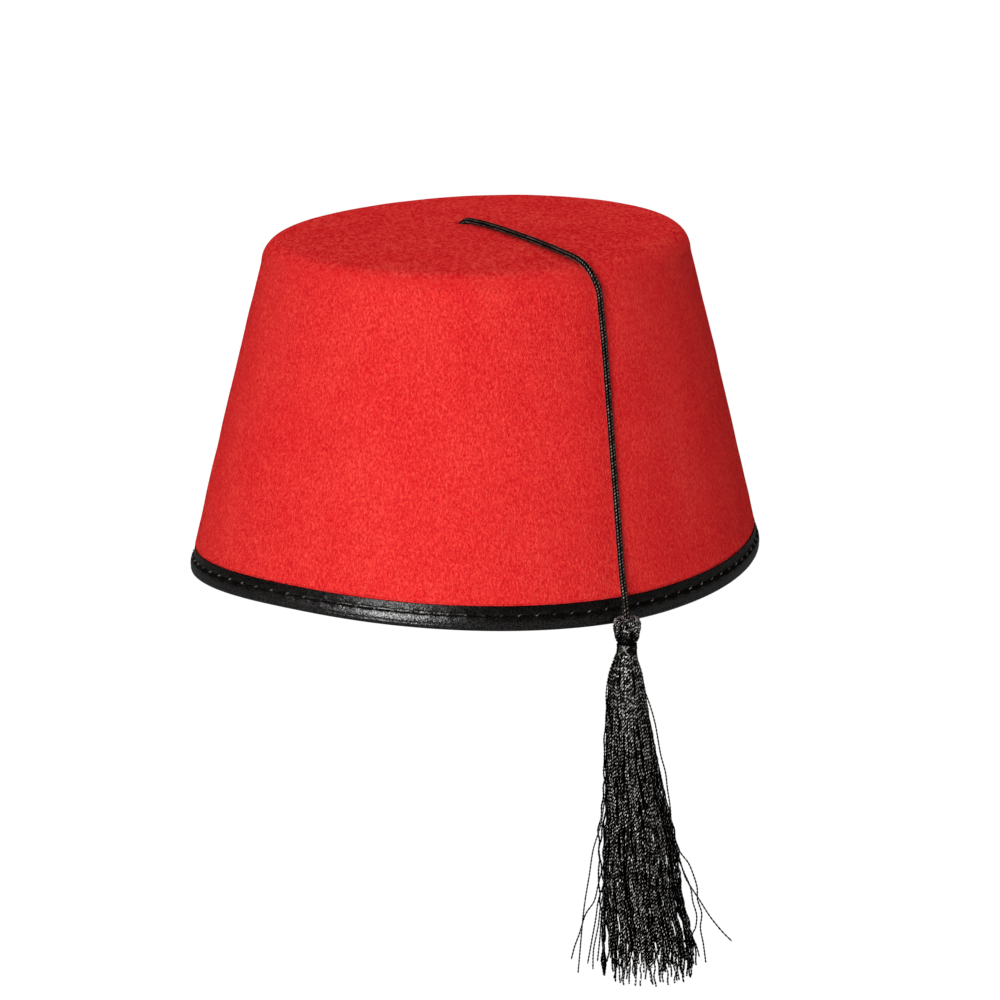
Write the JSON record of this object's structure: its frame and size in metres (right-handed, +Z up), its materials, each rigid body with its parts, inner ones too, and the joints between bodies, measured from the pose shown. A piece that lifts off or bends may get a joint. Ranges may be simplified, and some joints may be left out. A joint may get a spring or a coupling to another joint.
{
  "type": "fez hat",
  "caption": "Fez of moulded felt with a leatherette rim binding, and a yarn tassel hanging over one side on a cord through the top.",
  "frame": {"origin": "middle of the head opening, in the mean plane of the rim, where a head holds the hat", "axes": "+Z up through the crown, -Y the wearer's front and so the oval's long axis along Y, +X the wearer's left, where the tassel hangs"},
  "size_m": [0.2018, 0.2046, 0.2411],
  "materials": {
    "red_felt": "matt moulded felt with short fibres",
    "black_leatherette": "satin with a fine grain",
    "black_cord": "braided, slightly shiny",
    "black_yarn": "twisted shiny yarn",
    "black_thread": "wound shiny thread"
  },
  "bodies": {
    "root": {"crown": "red_felt", "rim_binding": "black_leatherette", "cord": "black_cord", "cord_knot": "black_cord", "tassel": "black_yarn", "tassel_wrap": "black_thread"}
  },
  "joints": []
}
